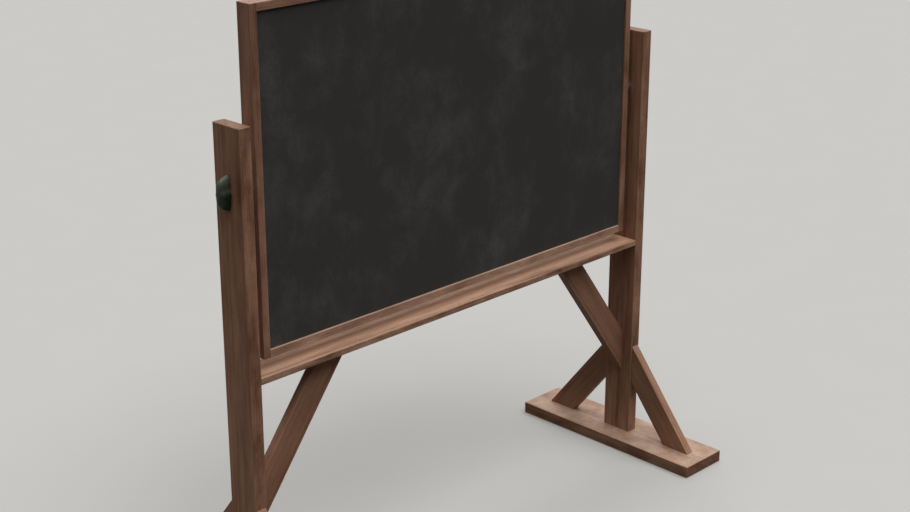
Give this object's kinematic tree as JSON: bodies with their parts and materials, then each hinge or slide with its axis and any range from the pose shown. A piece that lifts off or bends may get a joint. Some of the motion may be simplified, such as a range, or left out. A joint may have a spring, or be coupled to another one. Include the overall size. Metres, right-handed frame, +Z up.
{
  "type": "revolving chalkboard",
  "caption": "Free-standing revolving chalkboard: a framed board, writable on either face, that turns on clamped pivot bolts between braced wooden posts above a chalk shelf.",
  "frame": {"origin": "on the floor, midway between the posts and at the middle of the depth of the feet", "axes": "+X to the right along the pivot axis as one faces the front writing face, +Y from the front to the back, +Z up"},
  "size_m": [1.486, 0.6, 1.4385],
  "materials": {
    "stand_timber": "oiled pine, planed, with eased edges",
    "frame_timber": "oiled pine, planed, with eased edges",
    "core_timber": "bare sawn pine",
    "dowel_beech": "turned beech",
    "chalk_paint": "matte chalkboard paint on hardboard, with faint chalk haze",
    "zinc_steel": "zinc plated",
    "black_plastic": "moulded, glossy",
    "brass_insert": "turned"
  },
  "bodies": {
    "stand": {"left_foot": "stand_timber", "right_foot": "stand_timber", "left_post": "stand_timber", "right_post": "stand_timber", "left_front_brace": "stand_timber", "left_back_brace": "stand_timber", "right_front_brace": "stand_timber", "right_back_brace": "stand_timber", "left_knee_brace": "stand_timber", "right_knee_brace": "stand_timber", "chalk_shelf": "stand_timber", "left_front_brace_dowel": "dowel_beech", "left_back_brace_dowel": "dowel_beech", "left_knee_post_dowel": "dowel_beech", "left_knee_shelf_dowel": "dowel_beech", "left_shelf_front_dowel": "dowel_beech", "left_shelf_back_dowel": "dowel_beech", "right_front_brace_dowel": "dowel_beech", "right_back_brace_dowel": "dowel_beech", "right_knee_post_dowel": "dowel_beech", "right_knee_shelf_dowel": "dowel_beech", "right_shelf_front_dowel": "dowel_beech", "right_shelf_back_dowel": "dowel_beech", "left_front_brace_screw": "zinc_steel", "left_post_front_screw": "zinc_steel", "left_post_back_screw": "zinc_steel", "left_back_brace_screw": "zinc_steel", "right_front_brace_screw": "zinc_steel", "right_post_front_screw": "zinc_steel", "right_post_back_screw": "zinc_steel", "right_back_brace_screw": "zinc_steel", "left_post_washer": "zinc_steel", "right_post_washer": "zinc_steel"},
    "board": {"top_rail": "frame_timber", "bottom_rail": "frame_timber", "left_stile": "frame_timber", "right_stile": "frame_timber", "left_bottom_frame_screw": "zinc_steel", "left_top_frame_screw": "zinc_steel", "right_bottom_frame_screw": "zinc_steel", "right_top_frame_screw": "zinc_steel", "front_writing_sheet": "chalk_paint", "back_writing_sheet": "chalk_paint", "core_top_batten": "core_timber", "core_bottom_batten": "core_timber", "core_left_batten": "core_timber", "core_right_batten": "core_timber", "core_middle_rail": "core_timber", "left_pivot_bolt": "zinc_steel", "right_pivot_bolt": "zinc_steel", "left_bolt_washer": "zinc_steel", "right_bolt_washer": "zinc_steel", "left_spacer_sleeve": "zinc_steel", "right_spacer_sleeve": "zinc_steel"},
    "left_knob": {"left_knob_grip": "black_plastic", "left_knob_insert": "brass_insert"},
    "right_knob": {"right_knob_grip": "black_plastic", "right_knob_insert": "brass_insert"}
  },
  "joints": [
    {"name": "board_turn", "type": "hinge", "parent": "stand", "child": "board", "pos_m": [0, 0, 1.04], "axis": [1, 0, 0], "continuous": true},
    {"name": "left_knob_turn", "type": "hinge", "parent": "board", "child": "left_knob", "pos_m": [-0.6863, 0, 1.04], "axis": [-1, 0, 0], "range_deg": [0, 720]},
    {"name": "right_knob_turn", "type": "hinge", "parent": "board", "child": "right_knob", "pos_m": [0.6863, 0, 1.04], "axis": [1, 0, 0], "range_deg": [0, 720]}
  ]
}
